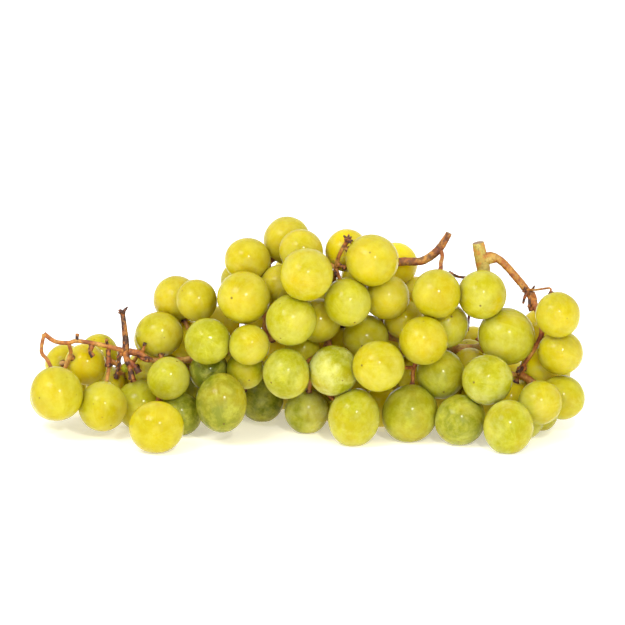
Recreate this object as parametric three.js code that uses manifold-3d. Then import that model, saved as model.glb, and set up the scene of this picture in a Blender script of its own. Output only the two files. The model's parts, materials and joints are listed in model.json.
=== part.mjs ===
// A bunch of white table grapes lying on its side on a level surface, in millimetres, +Z up.
// X runs along the bunch from its drooping tip at the left to the stalk end at the right, the front is at -Y.
// Every berry is a closed body pressed a little into the next one of its own spray.
// One branched woody stem runs through the sprays and ends just short of each berry.
import * as THREE from "three";
import { mergeVertices } from "three/addons/utils/BufferGeometryUtils.js";
import Module from "manifold-3d";

const wasm = await Module();
wasm.setup();

// Driving dimensions, in millimetres.
const PRESS = 1.0; // how far two berries of a spray are pressed into each other
const CLEAR = 0.4; // air between berries of different sprays
const FLAT = 0.5; // how much of a berry's underside is flattened by the surface
const SINK = 1.5; // a berry that hangs less than this above the surface sinks on to it
const STEM_GAP = 0.3; // air between the stem and a berry's skin
const TWIG_ROOM = 1.3; // half the room that a berry's own stalk takes
const FACET_SWELL = 1.025; // a faceted berry is this much larger than its sphere, so its volume is right
const MIDDLE = 48; // depth of the plane through the main stem
const NEAR = 30; // front berries nearer than this have a partner behind the middle plane
const SLOPE = 0.36; // how steeply the partners lie lower towards the back
const INWARD = 0.92; // the partners lie this much nearer the middle than the front berries
const STALK = 0.8; // half the thickness of a stalk that carries one berry
const COLLAR = 1.5; // half the width of a stalk where it meets its berry
const STALK_STEP = 10; // length of a stalk's straight pieces
const SIGHT = (14 * Math.PI) / 180; // the heights below were taken looking down by this angle
const SIN = Math.sin(SIGHT);
const COS = Math.cos(SIGHT);
const ROUNDS = 500; // rounds in which the berries settle against each other
const CALM = 40; // last rounds, in which they only part from each other

// Berries of each spray: place across, height as sighted, depth, width, length over width, lean in degrees.
const SPRAYS = {
  front_berry: [[-62.4, 10.6, 1, 21.6, 1.06, 90]],
  left_end: [
    [-103.5, 24.1, 22, 22.2],
    [-105.4, 23.5, 42.5, 20.8],
    [-85.2, 19.1, 28, 20.4],
    [-84.8, 28.5, 58, 16.6],
    [-102.4, 35.9, 65, 16.6],
    [-92.7, 36.0, 50, 17.4],
    [-86.3, 40.6, 66, 15.8],
  ],
  left_low: [
    [-70.6, 20.2, 43, 20.8],
    [-51.9, 16.9, 33, 18.4],
    [-56.3, 32.4, 28, 17.8],
  ],
  left_mid: [
    [-68.5, 34.0, 62, 15.8],
    [-66.3, 46.0, 66, 15.0],
    [-60.8, 47.7, 48, 18.8, 1.08, 80],
    [-55.4, 60.9, 53, 19.6],
    [-45.9, 63.0, 36, 17.2],
    [-51.0, 46.5, 62, 17.0],
    [-35.0, 53.0, 53, 16.4],
  ],
  left_centre: [
    [-41.3, 45.6, 28, 19.4],
    [-24.2, 44.8, 20, 17.0],
    [-36.5, 21.0, 22, 21.2, 1.17, 0],
    [-25.5, 34.6, 31, 15.8],
    [-43.5, 34.4, 38, 16.6],
  ],
  top_left: [
    [-26.3, 63.9, 26, 22.0],
    [-24.1, 79.4, 43, 18.8],
    [-28.6, 71.5, 55, 15.0],
    [-11.7, 70.7, 38, 16.6],
  ],
  top: [
    [-8.9, 88.0, 53, 19.4],
    [-3.1, 82.6, 36, 17.8],
    [-0.2, 74.4, 17, 22.0],
    [-7.1, 54.1, 18, 21.0],
    [5.2, 54.8, 33, 18.4],
    [-1.9, 42.3, 42, 15.0],
  ],
  top_right: [
    [15.5, 83.4, 43, 17.6],
    [27.6, 78.5, 26, 21.6],
    [16.4, 62.0, 26, 19.8],
    [33.1, 64.6, 36, 19.0],
  ],
  middle: [
    [37.2, 76.6, 57, 18.0],
    [23.1, 48.5, 38, 19.2],
    [39.4, 55.6, 44, 16.6],
    [44.4, 67.2, 58, 16.6],
    [13.6, 45.4, 66, 16.4],
    [4.0, 44.0, 74, 15.4],
  ],
  front_centre: [
    [-9.2, 32.6, 14, 19.4, 1.1, -8],
    [10.5, 34.8, 22, 21.0],
    [30.4, 36.2, 12, 21.4],
    [19.9, 15.4, 14, 21.6, 1.14, 8],
  ],
  inner_left: [
    [-19.8, 22.3, 55, 18.4],
    [-36.0, 21.0, 50, 16.6],
    [-27.0, 34.0, 60, 16.0],
    [-14.5, 44.5, 68, 15.4],
    [-46.0, 25.0, 63, 16.0],
  ],
  inner_centre: [
    [0.2, 17.7, 36, 18.4],
    [15.0, 19.0, 44, 17.0],
    [31.0, 20.3, 50, 17.0],
    [12.0, 39.0, 60, 16.4],
  ],
  right_front: [
    [53.0, 65.4, 24, 20.2],
    [72.8, 65.4, 30, 20.4],
    [47.2, 45.8, 14, 20.4],
    [57.2, 52.6, 31, 19.2],
    [82.9, 47.7, 30, 23.4, 1.04, -45],
  ],
  right_low: [
    [42.2, 17.8, 25, 23.2, 1.05, 30],
    [63.2, 13.8, 15, 21.0],
    [75.6, 31.9, 12, 21.0],
    [55.8, 31.9, 38, 20.4],
    [44.8, 30.6, 48, 15.0],
  ],
  right_core: [
    [37.0, 49.0, 64, 16.6],
    [48.0, 38.0, 62, 17.2],
    [57.0, 24.0, 54, 17.4],
    [72.0, 23.0, 48, 17.0],
  ],
  right_inner: [
    [67.7, 37.3, 42, 15.8],
    [67.7, 41.5, 55, 15.0],
    [69.4, 44.4, 70, 14.0],
  ],
  right_wing: [
    [103.7, 57.2, 24, 18.6],
    [103.9, 39.8, 22, 18.6],
    [95.6, 31.9, 38, 17.4],
  ],
  right_end: [
    [96.8, 20.9, 18, 18.4],
    [103.4, 28.4, 33, 18.4],
    [83.3, 11.9, 3, 20.8, 1.1, 6],
    [96.9, 16.0, 38, 15.0],
    [89.8, 14.4, 28, 15.8],
    [85.2, 22.3, 40, 15.0],
  ],
};

// The sprays behind the middle plane, and the front sprays that each one balances.
const PARTNERS = {
  far_left: ["left_end", "left_low", "left_centre"],
  far_top: ["top_left", "top", "top_right"],
  far_centre: ["front_centre"],
  far_right: ["right_front", "right_low"],
  far_wing: ["right_wing", "right_end"],
};

// Stems, each a line of places across, height as sighted, depth and half thickness.
// The first is the main stem, from the cut end of the stalk to the torn tip at the left.
const STEMS = {
  main: [
    [70.9, 86.9, 44, 2.35],
    [72.0, 81.5, 44, 2.75],
    [73.2, 76.0, 44, 2.8],
    [75.0, 66.0, 46, 2.4],
    [79.5, 57.0, 48, 2.4],
    [79.0, 49.0, 50, 2.3],
    [72.0, 43.0, 51, 2.3],
    [60.0, 43.0, 51, 2.2],
    [48.0, 46.0, 50, 2.2],
    [34.0, 48.5, 50, 2.1],
    [18.0, 54.5, 49, 2.0],
    [0.0, 53.0, 49, 1.9],
    [-18.0, 47.0, 47, 1.8],
    [-34.0, 42.0, 43, 1.6],
    [-48.0, 38.5, 39, 1.4],
    [-65.0, 38.1, 38, 1.1],
    [-71.0, 40.6, 38, 1.1],
    [-77.3, 42.3, 38, 1.1],
    [-85.4, 44.4, 38, 0.95],
    [-95.6, 46.1, 38, 0.9],
    [-99.4, 45.3, 38, 0.9],
    [-105.0, 45.9, 38, 0.9],
    [-109.6, 49.1, 38, 1.0],
  ],
  second_stalk: [
    [35.0, 48.5, 50, 1.9],
    [30.0, 58.0, 49, 1.8],
    [25.5, 67.0, 47, 1.8],
    [28.0, 75.0, 45, 1.8],
    [34.0, 78.2, 44, 1.8],
    [40.0, 79.0, 43, 1.75],
    [47.1, 79.2, 43, 1.7],
    [51.8, 81.6, 43, 1.75],
    [55.1, 84.9, 43, 1.75],
    [57.5, 88.5, 43, 1.5],
    [58.8, 90.8, 43, 1.35],
  ],
  wing_branch: [
    [72.8, 80.6, 44, 2.2],
    [76.8, 81.2, 44, 1.8],
    [81.0, 78.8, 43.5, 1.65],
    [86.0, 73.4, 42.5, 1.6],
    [90.6, 67.8, 42, 1.6],
    [93.6, 63.0, 40, 1.4],
    [96.3, 56.0, 35, 1.2],
    [97.3, 49.5, 33, 1.15],
    [95.2, 44.4, 34, 1.0],
    [91.9, 39.0, 35, 0.9],
    [89.0, 34.8, 36, 0.8],
  ],
  top_branch: [
    [18.0, 54.5, 49, 1.5],
    [14.0, 62.0, 47, 1.3],
    [11.0, 70.0, 41, 1.1],
    [11.8, 76.4, 33, 0.9],
    [13.3, 81.9, 29, 0.8],
    [16.6, 87.8, 27, 1.0],
  ],
  top_left_branch: [
    [-18.0, 47.0, 47, 1.5],
    [-17.0, 58.0, 46, 1.3],
    [-17.0, 68.0, 46, 1.2],
    [-16.0, 78.0, 49, 0.9],
  ],
  bare_twig: [
    [-75.6, 41.6, 38, 1.6],
    [-75.7, 47.5, 38, 1.3],
    [-76.9, 58.0, 38, 1.0],
  ],
  tip_twig: [
    [-99.4, 45.3, 38, 0.8],
    [-98.5, 41.9, 39, 0.8],
    [-98.8, 39.5, 40, 0.8],
  ],
  stub: [
    [-82.8, 43.6, 38, 0.7],
    [-82.5, 39.5, 38, 0.7],
    [-82.5, 35.8, 38, 1.5],
  ],
};

// Stalks that are seen whole: the spray and the berry's number in it, then places as for the stems.
const SEEN_STALKS = [
  ["right_front", 0, [55.6, 85.4, 43], [56.0, 81.5, 40.5], [55.3, 78.5, 35], [55.1, 75.7, 30]],
  ["right_wing", 0, [91.0, 66.6, 41], [94.5, 67.3, 37], [98.8, 66.8, 31], [100.9, 66.3, 28]],
  ["left_centre", 2, [-40.5, 40.6, 41.5], [-39.0, 37.0, 37], [-37.4, 33.4, 31]],
  ["left_end", 0, [-109.2, 48.3, 38], [-110.7, 41.9, 36], [-108.3, 38.4, 32], [-106.8, 35.7, 29]],
  ["left_low", 0, [-75.2, 41.6, 38], [-74.8, 37.0, 39], [-73.1, 31.0, 41]],
  ["front_berry", 0, [-60.0, 38.2, 38.7], [-60.8, 30.0, 37.5], [-61.6, 21.0, 29], [-62.2, 15.5, 16]],
];

const add = (a, b) => a.map((x, i) => x + b[i]);
const sub = (a, b) => a.map((x, i) => x - b[i]);
const times = (a, k) => a.map((x) => x * k);
const dot = (a, b) => a[0] * b[0] + a[1] * b[1] + a[2] * b[2];
const size = (a) => Math.sqrt(dot(a, a));
const unit = (a) => times(a, 1 / size(a));

// A place from how far across it lies, its height as sighted and its depth.
function sighted([across, height, depth]) {
  return [across, depth, (height - depth * SIN) / COS];
}

// The direction in which a berry leans, seen along the line of sight.
function leaning(degrees) {
  const a = (degrees * Math.PI) / 180;
  return [Math.sin(a), Math.cos(a) * SIN, Math.cos(a) * COS];
}

let seed = 7;

// A number between -1 and 1 from a repeatable series.
function draw() {
  seed = (seed * 48271) % 2147483647;
  return (seed / 2147483647) * 2 - 1;
}

function berry(spray, place, width, long, lean, seen) {
  const radius = (width * (1 + long)) / 4;
  return { spray, at: place, home: place, width, long, lean, radius, seen };
}

// The berries that are seen from the front.
function frontBerries() {
  return Object.entries(SPRAYS).flatMap(([spray, list]) =>
    list.map(([across, height, depth, width, long = 1.03, lean = null]) =>
      berry(spray, sighted([across, height, depth]), width, long, lean, true),
    ),
  );
}

// The berries behind the middle plane, each a loose likeness of one in front of it.
function farBerries(front) {
  const far = [];
  for (const [spray, partners] of Object.entries(PARTNERS)) {
    for (const b of front.filter((f) => partners.includes(f.spray) && f.home[1] < NEAR)) {
      const [x, y, z] = b.home;
      const width = b.width * (1 + 0.07 * draw());
      const across = x * INWARD + 4 * draw();
      const depth = 2 * MIDDLE - y + 3 * draw();
      const height = z - (depth - y) * SLOPE + 2 * draw();
      far.push(berry(spray, [across, depth, Math.max(height, width / 2)], width, 1.03, null, false));
    }
  }
  return far;
}

const air = (a, b) => size(sub(b.at, a.at)) - a.radius - b.radius;

// The pairs that hold each spray together: from its first berry, always the nearest one that is still loose.
function holdingPairs(berries) {
  const pairs = [];
  for (const spray of new Set(berries.map((b) => b.spray))) {
    const loose = berries.filter((b) => b.spray === spray);
    const held = [loose.shift()];
    while (loose.length) {
      let best = null;
      for (const a of held) {
        for (const b of loose) {
          if (!best || air(a, b) < best.air) best = { air: air(a, b), a, b };
        }
      }
      pairs.push([best.a, best.b]);
      held.push(loose.splice(loose.indexOf(best.b), 1)[0]);
    }
  }
  return pairs;
}

// The nearest point to a place on the straight piece from a to b.
function nearestOn(a, b, place) {
  const e = sub(b, a);
  const t = Math.min(1, Math.max(0, dot(sub(place, a), e) / dot(e, e)));
  return add(a, times(e, t));
}

// The straight pieces of the listed stems, with the room that each one takes.
function stemPieces() {
  return Object.values(STEMS).flatMap((line) =>
    line.slice(1).map((end, i) => {
      const room = Math.max(end[3], line[i][3]) + 0.5;
      return { a: sighted(line[i]), b: sighted(end), room };
    }),
  );
}

// Moves two berries towards or away from each other until their centres are the wanted distance apart.
function nudge(moves, berries, i, j, want, share) {
  const d = sub(berries[j].at, berries[i].at);
  const k = ((want - size(d)) / 2 / size(d)) * share;
  moves[i] = sub(moves[i], times(d, k));
  moves[j] = add(moves[j], times(d, k));
}

// One round in which the berries part, keep hold of their own spray and make way for the stems.
function settleOnce(berries, links, pieces, calm) {
  const moves = berries.map(() => [0, 0, 0]);
  berries.forEach((a, i) => {
    for (let j = i + 1; j < berries.length; j++) {
      const b = berries[j];
      const reach = a.radius + b.radius + (a.spray === b.spray ? -PRESS : CLEAR);
      if (size(sub(b.at, a.at)) < reach) nudge(moves, berries, i, j, reach, 1);
    }
  });
  for (const [i, j] of links) {
    const reach = berries[i].radius + berries[j].radius - PRESS;
    if (size(sub(berries[j].at, berries[i].at)) > reach) nudge(moves, berries, i, j, reach, 0.6);
  }
  berries.forEach((b, i) => {
    for (const { a, b: end, room } of pieces) {
      const away = sub(b.at, nearestOn(a, end, b.at));
      const short = b.radius + room - size(away);
      if (short > 0) moves[i] = add(moves[i], times(away, (0.5 * short) / size(away)));
    }
  });
  berries.forEach((b, i) => moveBerry(b, moves[i], calm));
}

// Moves a berry. One that is seen gives way mostly along the line of sight and returns to where it was seen.
function moveBerry(b, move, calm) {
  const sight = [0, COS, -SIN];
  const home = sub(b.home, b.at);
  const along = times(sight, dot(move, sight));
  const homeAlong = times(sight, dot(home, sight));
  const across = sub(move, along);
  b.at = add(b.at, times(add(along, times(across, b.seen ? 0.35 : 1)), 0.6));
  if (!calm) {
    b.at = add(b.at, times(sub(home, homeAlong), b.seen ? 0.12 : 0.01));
    b.at = add(b.at, times(homeAlong, 0.01));
    if (!b.seen) b.at[1] += (MIDDLE - b.at[1]) * 0.004;
  }
  if (b.at[2] < b.radius + SINK) b.at[2] += (b.radius - FLAT - b.at[2]) * 0.2;
  b.at[2] = Math.max(b.at[2], b.radius - FLAT);
}

// Lets all berries settle, and notes for each one which berries of its spray it is pressed into.
function settle(berries) {
  const pieces = stemPieces();
  const pairs = holdingPairs(berries);
  for (const b of berries) b.holds = pairs.filter((pair) => pair.includes(b)).flat().filter((c) => c !== b);
  const links = pairs.map((pair) => pair.map((b) => berries.indexOf(b)));
  for (let round = 0; round < ROUNDS; round++) {
    settleOnce(berries, links, pieces, round >= ROUNDS - CALM);
  }
}

// The listed stems as places with a thickness, each linked to the one that it grows from.
function listedStems() {
  const tree = [];
  for (const line of Object.values(STEMS)) {
    line.forEach((entry, i) => {
      const place = sighted(entry);
      if (i === 0) return tree.push({ at: place, from: -1, half: entry[3] });
      const last = tree[tree.length - 1];
      const pieces = Math.max(1, Math.round(size(sub(place, last.at)) / 4));
      for (let k = 1; k <= pieces; k++) {
        const at = add(last.at, times(sub(place, last.at), k / pieces));
        const half = last.half + ((entry[3] - last.half) * k) / pieces;
        tree.push({ at, from: tree.length - 1, half });
      }
    });
  }
  return tree;
}

// How hard it is to lead a stalk from a place to a berry: its length, and more where berries are in the way.
function effort(place, own, berries) {
  let sum = size(sub(own.at, place)) - own.radius;
  for (const b of berries) {
    if (b === own) continue;
    const inside = b.radius + TWIG_ROOM - size(sub(b.at, nearestOn(place, own.at, b.at)));
    if (inside > 0) sum += 1.5 * inside;
  }
  return sum;
}

// Moves a place out of every berry that it is inside of or too near to.
function pushedOut(place, berries, room, except) {
  let at = place;
  for (const b of berries) {
    if (b === except) continue;
    const away = sub(at, b.at);
    const reach = b.radius + room;
    if (size(away) < reach) at = add(b.at, times(unit(away), reach));
  }
  return at;
}

// The line of a stalk from a place on the stem to its berry, led round the berries between them.
function stalkLine(start, own, berries) {
  const total = size(sub(own.at, start)) - own.radius;
  const count = Math.max(1, Math.round(total / STALK_STEP));
  let pole = unit(sub(start, own.at));
  const line = [];
  for (let k = 1; k <= count; k++) line.push(add(start, times(pole, (-total * k) / (count + 1))));
  for (let round = 0; round < 60; round++) {
    let tip = add(own.at, times(pole, own.radius + 1.6));
    tip = pushedOut(tip, berries, COLLAR + 0.4, own);
    const pull = unit(sub(line[count - 1], own.at));
    pole = unit(add(unit(sub(tip, own.at)), times(pull, 0.05)));
    for (let k = 0; k < count; k++) {
      const before = k ? line[k - 1] : start;
      const after = k < count - 1 ? line[k + 1] : tip;
      const middle = times(add(before, after), 0.5);
      line[k] = add(line[k], times(sub(middle, line[k]), 0.3));
      line[k] = pushedOut(line[k], berries, TWIG_ROOM, null);
    }
  }
  return { line, pole };
}

// Adds a berry's stalk to the tree of stems, and counts it in all the places that carry it.
function addStalk(tree, stalks, from, line, pole, own) {
  const path = [from];
  for (const at of line) {
    tree.push({ at, from: path[path.length - 1], half: 0, load: 0 });
    path.push(tree.length - 1);
  }
  for (let k = path[path.length - 1]; k >= 0 && tree[k].load !== undefined; k = tree[k].from) tree[k].load++;
  own.pole = pole;
  stalks.push({ path, own });
}

function nearestPlace(tree, place) {
  let best = 0;
  tree.forEach((t, k) => {
    if (size(sub(t.at, place)) < size(sub(tree[best].at, place))) best = k;
  });
  return best;
}

// The stalks of all berries: first the listed ones, then from the berry nearest to a stem outwards.
function growStalks(tree, berries) {
  const stalks = [];
  for (const [spray, number, ...places] of SEEN_STALKS) {
    const own = berries.filter((b) => b.spray === spray)[number];
    const line = places.map(sighted);
    const pole = unit(sub(line[line.length - 1], own.at));
    own.listed = true;
    const inner = line.slice(1, -1).map((place) => {
      for (let round = 0; round < 20; round++) place = pushedOut(place, berries, TWIG_ROOM, null);
      return place;
    });
    addStalk(tree, stalks, nearestPlace(tree, line[0]), inner, pole, own);
  }
  const stemNear = (b) => tree[nearestPlace(tree, b.at)].at;
  const reach = new Map(berries.map((b) => [b, size(sub(stemNear(b), b.at)) - b.radius]));
  const waiting = berries.filter((b) => !b.pole).sort((a, b) => reach.get(a) - reach.get(b));
  for (const own of waiting) {
    const efforts = tree.map((t) => effort(t.at, own, berries));
    const from = efforts.indexOf(Math.min(...efforts));
    const { line, pole } = stalkLine(tree[from].at, own, berries);
    addStalk(tree, stalks, from, line, pole, own);
  }
  return stalks;
}

// A closed tube through places, with a half thickness at each.
function tube(places, halves, sides) {
  const points = places.map((p) => new THREE.Vector3(...p));
  const positions = [];
  const index = [];
  let across = null;
  points.forEach((p, i) => {
    const before = points[Math.max(i - 1, 0)];
    const after = points[Math.min(i + 1, points.length - 1)];
    const way = after.clone().sub(before).normalize();
    if (!across) across = Math.abs(way.z) < 0.9 ? new THREE.Vector3(0, 0, 1) : new THREE.Vector3(1, 0, 0);
    across = across.clone().addScaledVector(way, -across.dot(way)).normalize();
    const other = way.clone().cross(across);
    for (let k = 0; k < sides; k++) {
      const a = (2 * Math.PI * k) / sides;
      const q = p.clone().addScaledVector(across, halves[i] * Math.cos(a));
      positions.push(q.addScaledVector(other, halves[i] * Math.sin(a)));
    }
  });
  for (let i = 0; i + 1 < points.length; i++) {
    for (let k = 0; k < sides; k++) {
      const a = i * sides + k;
      const b = i * sides + ((k + 1) % sides);
      index.push(a, b, a + sides, b, b + sides, a + sides);
    }
  }
  const last = (points.length - 1) * sides;
  for (let k = 1; k + 1 < sides; k++) {
    index.push(0, k + 1, k);
    index.push(last, last + k, last + k + 1);
  }
  return solid(new THREE.BufferGeometry().setFromPoints(positions).setIndex(index));
}

function solid(geometry) {
  const bare = geometry.clone();
  bare.deleteAttribute("normal");
  bare.deleteAttribute("uv");
  const merged = mergeVertices(bare);
  const vertProperties = merged.attributes.position.array;
  const triVerts = new Uint32Array(merged.index.array);
  return new wasm.Manifold(new wasm.Mesh({ numProp: 3, vertProperties, triVerts }));
}

// The planes that a berry keeps behind: one before each near berry of another spray.
function berryLimits(own, berries) {
  const limits = [];
  for (const b of berries) {
    if (b.spray === own.spray) continue;
    const d = sub(b.at, own.at);
    const gap = size(d) - own.radius - b.radius;
    if (gap < 5) limits.push({ way: unit(d), reach: own.radius + gap / 2 - STEM_GAP / 2 });
  }
  return limits;
}

// Moves the corner of a berry that is nearest to a berry it is pressed into, so that it ends inside that one.
function reachInto(corners, own, b) {
  const way = unit(sub(b.at, own.at));
  const most = Math.max(...corners.map((c) => dot(c, way)));
  const reach = size(sub(b.at, own.at)) - b.radius + 1.1;
  corners.forEach((c, i) => {
    if (dot(c, way) > most - 1e-4) corners[i] = times(way, reach);
  });
}

// The three corners of the face that looks most straight down.
function lowestFace(corners) {
  const faces = [];
  for (let i = 0; i < corners.length; i += 3) faces.push(corners.slice(i, i + 3).map((c) => [...c]));
  const depth = (face) => face[0][2] + face[1][2] + face[2][2];
  return faces.reduce((low, face) => (depth(face) < depth(low) ? face : low));
}

// A berry as a faceted oval, longer along its lean, flattened by the surface and by berries of other sprays.
function berrySolid(own, berries, swell) {
  const geometry = new THREE.IcosahedronGeometry(1, 1);
  const position = geometry.attributes.position;
  const limits = berryLimits(own, berries);
  const axis = own.lean === null ? own.pole : leaning(own.lean);
  const across = (own.width / 2) * FACET_SWELL;
  const corners = [];
  for (let i = 0; i < position.count; i++) {
    const v = [position.getX(i), position.getY(i), position.getZ(i)];
    corners.push(add(times(v, across), times(axis, dot(v, axis) * across * (own.long - 1))));
  }
  for (const b of own.holds) reachInto(corners, own, b);
  const foot = own.at[2] < own.radius - FLAT / 3 ? lowestFace(corners) : [];
  for (let i = 0; i < position.count; i++) {
    let out = corners[i];
    if (foot.some((c) => size(sub(c, out)) < 1e-4)) out[2] = -own.at[2];
    for (let round = 0; round < 3; round++) {
      for (const { way, reach } of limits) {
        const over = dot(out, way) - reach;
        if (over > 0) out = sub(out, times(way, over));
      }
    }
    out[2] = Math.max(out[2], -own.at[2]);
    position.setXYZ(i, ...add(own.at, times(out, swell)));
  }
  return solid(geometry);
}

// The woody stem with every stalk, cut clear of the berries.
function stemSolid(tree, stalks, berries) {
  for (const t of tree) {
    if (t.load) t.half = STALK * Math.sqrt(1 + 0.35 * (t.load - 1));
  }
  let stem = null;
  for (const line of Object.values(STEMS)) {
    const piece = tube(line.map(sighted), line.map((entry) => entry[3]), line === STEMS.main ? 7 : 6);
    stem = stem ? stem.add(piece) : piece;
  }
  for (const { path, own } of stalks) {
    const end = add(own.at, times(own.pole, (own.long * own.width) / 2 + STEM_GAP + 0.2));
    const places = [...path.map((k) => tree[k].at), end];
    const first = Math.min(tree[path[0]].half, tree[path[1]].half);
    const halves = [first, ...path.slice(1).map((k) => tree[k].half), COLLAR];
    stem = stem.add(tube(places, halves, own.seen && own.listed ? 5 : 4));
  }
  for (const b of berries) {
    stem = stem.subtract(berrySolid(b, berries, 1 + (1.15 * STEM_GAP) / b.radius));
  }
  const bodies = stem.decompose();
  bodies.sort((a, b) => b.volume() - a.volume());
  return bodies[0];
}

const front = frontBerries();
const berries = [...front, ...farBerries(front)];
settle(berries);
const tree = listedStems();
const stalks = growStalks(tree, berries);

// Half way between the furthest berries on an axis.
function halfway(axis) {
  const low = Math.min(...berries.map((b) => b.at[axis] - b.radius));
  const high = Math.max(...berries.map((b) => b.at[axis] + b.radius));
  return (low + high) / 2;
}

const SHIFT = [-halfway(0), -halfway(1), 0];

function nodeMesh(name, made, color, roughness) {
  const mesh = made.getMesh();
  const position = new THREE.BufferAttribute(new Float32Array(mesh.vertProperties), 3);
  const geometry = new THREE.BufferGeometry().setAttribute("position", position);
  geometry.setIndex(new THREE.BufferAttribute(new Uint32Array(mesh.triVerts), 1));
  geometry.translate(...SHIFT);
  geometry.computeVertexNormals();
  const material = new THREE.MeshStandardMaterial({ color, roughness, metalness: 0, flatShading: true });
  const node = new THREE.Mesh(geometry, material);
  node.name = name;
  return node;
}

const group = new THREE.Group();
for (const spray of new Set(berries.map((b) => b.spray))) {
  let made = null;
  for (const b of berries.filter((own) => own.spray === spray)) {
    const one = berrySolid(b, berries, 1);
    made = made ? made.add(one) : one;
  }
  group.add(nodeMesh("berries_" + spray, made, 0xb9ad35, 0.4));
}
group.add(nodeMesh("stem", stemSolid(tree, stalks, berries), 0x8a5a30, 0.8));

export default group;
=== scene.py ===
"""A bunch of white table grapes on its side: its skins, its woody stem, and a plain studio round them."""

import json
import math

import bpy
import numpy as np
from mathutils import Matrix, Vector, noise

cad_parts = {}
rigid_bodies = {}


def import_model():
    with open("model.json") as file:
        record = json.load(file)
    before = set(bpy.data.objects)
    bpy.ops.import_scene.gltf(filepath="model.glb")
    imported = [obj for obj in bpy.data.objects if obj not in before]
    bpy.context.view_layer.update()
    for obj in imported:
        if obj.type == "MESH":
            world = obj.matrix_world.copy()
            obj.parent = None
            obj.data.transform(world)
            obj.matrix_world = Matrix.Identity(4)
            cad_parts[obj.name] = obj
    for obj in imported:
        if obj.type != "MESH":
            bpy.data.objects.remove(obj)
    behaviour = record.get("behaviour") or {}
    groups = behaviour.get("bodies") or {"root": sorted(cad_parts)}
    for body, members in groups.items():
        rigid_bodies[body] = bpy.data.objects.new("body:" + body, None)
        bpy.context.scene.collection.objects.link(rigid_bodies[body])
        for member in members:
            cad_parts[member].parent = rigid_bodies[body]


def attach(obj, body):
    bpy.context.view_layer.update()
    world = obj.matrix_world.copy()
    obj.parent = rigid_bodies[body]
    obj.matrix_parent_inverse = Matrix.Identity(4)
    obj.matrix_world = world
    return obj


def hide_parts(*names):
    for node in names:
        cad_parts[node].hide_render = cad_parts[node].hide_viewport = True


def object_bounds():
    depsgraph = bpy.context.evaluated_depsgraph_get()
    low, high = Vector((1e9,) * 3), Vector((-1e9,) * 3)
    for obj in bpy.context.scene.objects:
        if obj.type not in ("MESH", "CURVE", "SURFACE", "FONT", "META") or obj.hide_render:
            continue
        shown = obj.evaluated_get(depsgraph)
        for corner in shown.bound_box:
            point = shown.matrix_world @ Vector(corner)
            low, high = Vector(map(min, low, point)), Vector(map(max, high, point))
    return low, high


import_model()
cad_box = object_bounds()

# The values of part.mjs, in millimetres, from which it places the berries and stems.
PRESS = 1.0  # how far two berries of a spray are pressed into each other
CLEAR = 0.4  # air between berries of different sprays
FLAT = 0.5  # how much of a berry's underside is flattened by the surface
SINK = 1.5  # a berry that hangs less than this above the surface sinks on to it
TWIG_ROOM = 1.3  # half the room that a berry's own stalk takes
MIDDLE = 48  # depth of the plane through the main stem
NEAR = 30  # front berries nearer than this have a partner behind the middle plane
SLOPE = 0.36  # how steeply the partners lie lower towards the back
INWARD = 0.92  # the partners lie this much nearer the middle than the front berries
STALK = 0.8  # half the thickness of a stalk that carries one berry
COLLAR = 1.5  # half the width of a stalk where it meets its berry
STALK_STEP = 10  # length of a stalk's straight pieces
SIGHT = math.radians(14)  # the heights below were taken looking down by this angle
SIN = math.sin(SIGHT)
COS = math.cos(SIGHT)

# The partners: length over width of a round berry, and how much their size and place may differ.
LONG = 1.03
SEED = 7
WIDTH_DRAW = 0.07
ACROSS_DRAW = 4
DEPTH_DRAW = 3
HEIGHT_DRAW = 2

# Settling: how many rounds, and the share of each push or pull that is taken in a round.
ROUNDS = 500
CALM = 40  # last rounds, in which the berries only part from each other
HOLD = 0.6  # berries of a spray that lost touch draw together
STEM_ROOM = 0.5  # air between a berry and a listed stem
MAKE_WAY = 0.5  # a berry makes way for a stem
MOVE = 0.6  # all moves together
SEEN_MOVE = 0.35  # moves across the sight of a berry that the photograph shows
SEEN_HOME = 0.12  # its way back across the sight
HIDDEN_HOME = 0.01  # the same for a hidden berry
DEPTH_HOME = 0.01  # the way back along the sight
TO_MIDDLE = 0.004  # a hidden berry's way to the middle plane
SINK_MOVE = 0.2  # a low berry's way to the surface

# Growing the stalks.
STEM_STEP = 4  # distance of the places on a stem that a stalk can start from
DETOUR = 1.5  # effort for each millimetre inside other berries
STALK_ROUNDS = 60
LISTED_ROUNDS = 20
TIP_OUT = 1.6  # a stalk is led to this far outside its berry
TIP_ROOM = 0.4  # air round its collar
STRAIGHTEN = 0.05  # how much a stalk turns its berry's pole towards itself in a round
SMOOTH = 0.3  # how far a place moves between its neighbours in a round
THICKEN = 0.35  # share by which each further berry adds to a stalk's section
FAR_BERRY = 32  # a berry with its centre further than this can't push a place away
FAR_FROM_STALK = 45  # nor can one this much further from a stalk's berry than the stalk is long

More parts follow.
